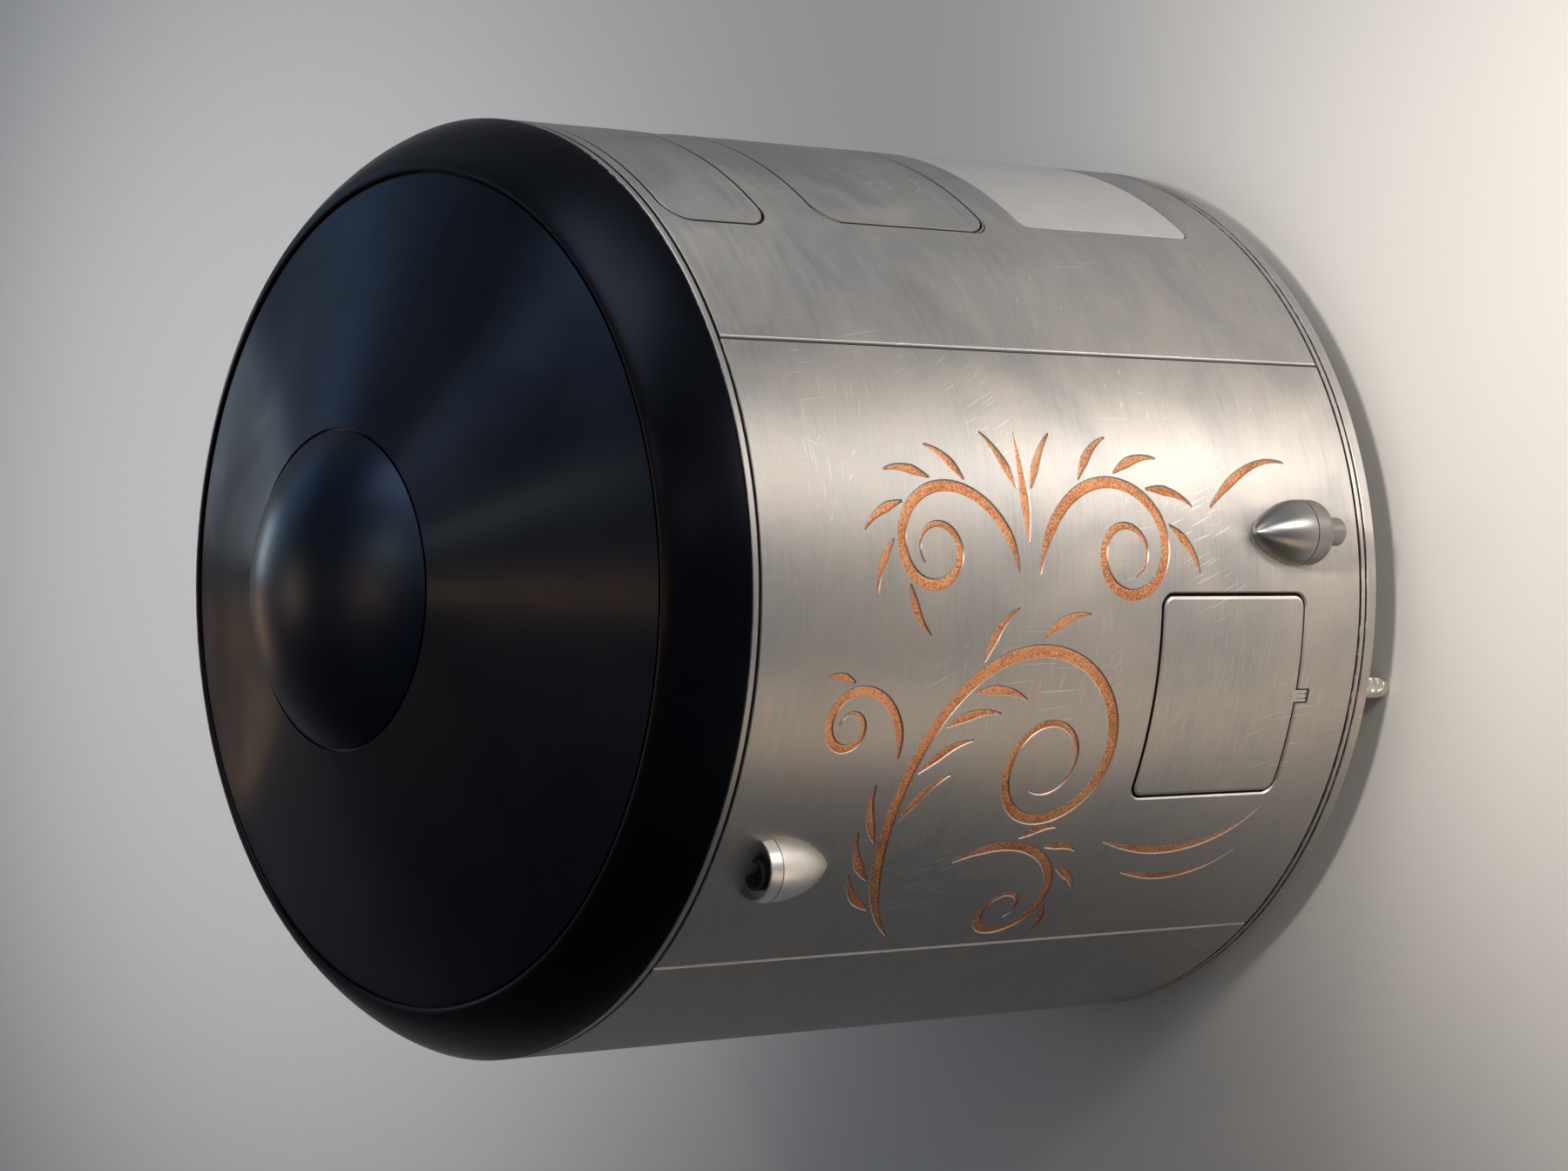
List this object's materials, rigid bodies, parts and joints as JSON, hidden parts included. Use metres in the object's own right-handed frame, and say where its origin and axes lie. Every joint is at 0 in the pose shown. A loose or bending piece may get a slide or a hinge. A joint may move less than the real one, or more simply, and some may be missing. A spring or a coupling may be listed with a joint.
{
  "type": "space capsule",
  "caption": "Blunt-nosed crew capsule with a cylindrical steel barrel, dark domed nose, side hatch on concealed gooseneck hinges and small thruster pods.",
  "frame": {"origin": "floor centre under the hull's axis, where the capsule stands on its aft studs", "axes": "+Z along the hull's axis towards the nose, -Y towards the port side and its hatch, +X towards the side that carries the flush covers"},
  "size_m": [3.5998, 3.7044, 4.153],
  "materials": {
    "hull_steel": "brushed around the barrel, lightly scratched",
    "heat_shield": "semi-gloss blue-black",
    "radiator_white": "satin light grey",
    "pod_steel": "satin turned steel",
    "nozzle_black": "matt black",
    "stud_chrome": "polished with a knurled shank",
    "machined_steel": "fine machined",
    "structure_alloy": "plain primed alloy"
  },
  "bodies": {
    "hull": {"nose_dome": "heat_shield", "nose_cone": "heat_shield", "nose_shoulder": "heat_shield", "forward_bulkhead": "structure_alloy", "front_ring": "hull_steel", "port_panel": "hull_steel", "top_panel": "hull_steel", "starboard_panel": "hull_steel", "belly_panel": "hull_steel", "aft_ring": "hull_steel", "aft_bulkhead": "structure_alloy", "aft_ribs": "structure_alloy", "aft_hub": "structure_alloy", "ring_frame_1": "structure_alloy", "ring_frame_2": "structure_alloy", "ring_frame_3": "structure_alloy", "ring_frame_4": "structure_alloy", "forward_cover": "hull_steel", "main_cover": "hull_steel", "radiator_panel": "radiator_white", "hatch_coaming": "structure_alloy", "hinge_bracket_1": "machined_steel", "hinge_bracket_2": "machined_steel", "hinge_pin": "machined_steel", "pod_shell_1": "pod_steel", "pod_shell_2": "pod_steel", "pod_shell_3": "pod_steel", "pod_shell_4": "pod_steel", "pod_collar_1": "pod_steel", "pod_collar_2": "pod_steel", "pod_collar_3": "pod_steel", "pod_collar_4": "pod_steel", "pod_nozzle_1": "pod_steel", "pod_nozzle_2": "nozzle_black", "pod_nozzle_3": "pod_steel", "pod_nozzle_4": "nozzle_black", "stud_1": "stud_chrome", "stud_2": "stud_chrome", "stud_3": "stud_chrome"},
    "hatch": {"hatch_door": "hull_steel", "hatch_latch": "machined_steel", "hinge_arm_1": "machined_steel", "hinge_arm_2": "machined_steel"}
  },
  "joints": [
    {"name": "hatch_hinge", "type": "hinge", "parent": "hull", "child": "hatch", "pos_m": [0, -1.722, 1.583], "axis": [-1, 0, 0], "range_deg": [0, 100]}
  ]
}
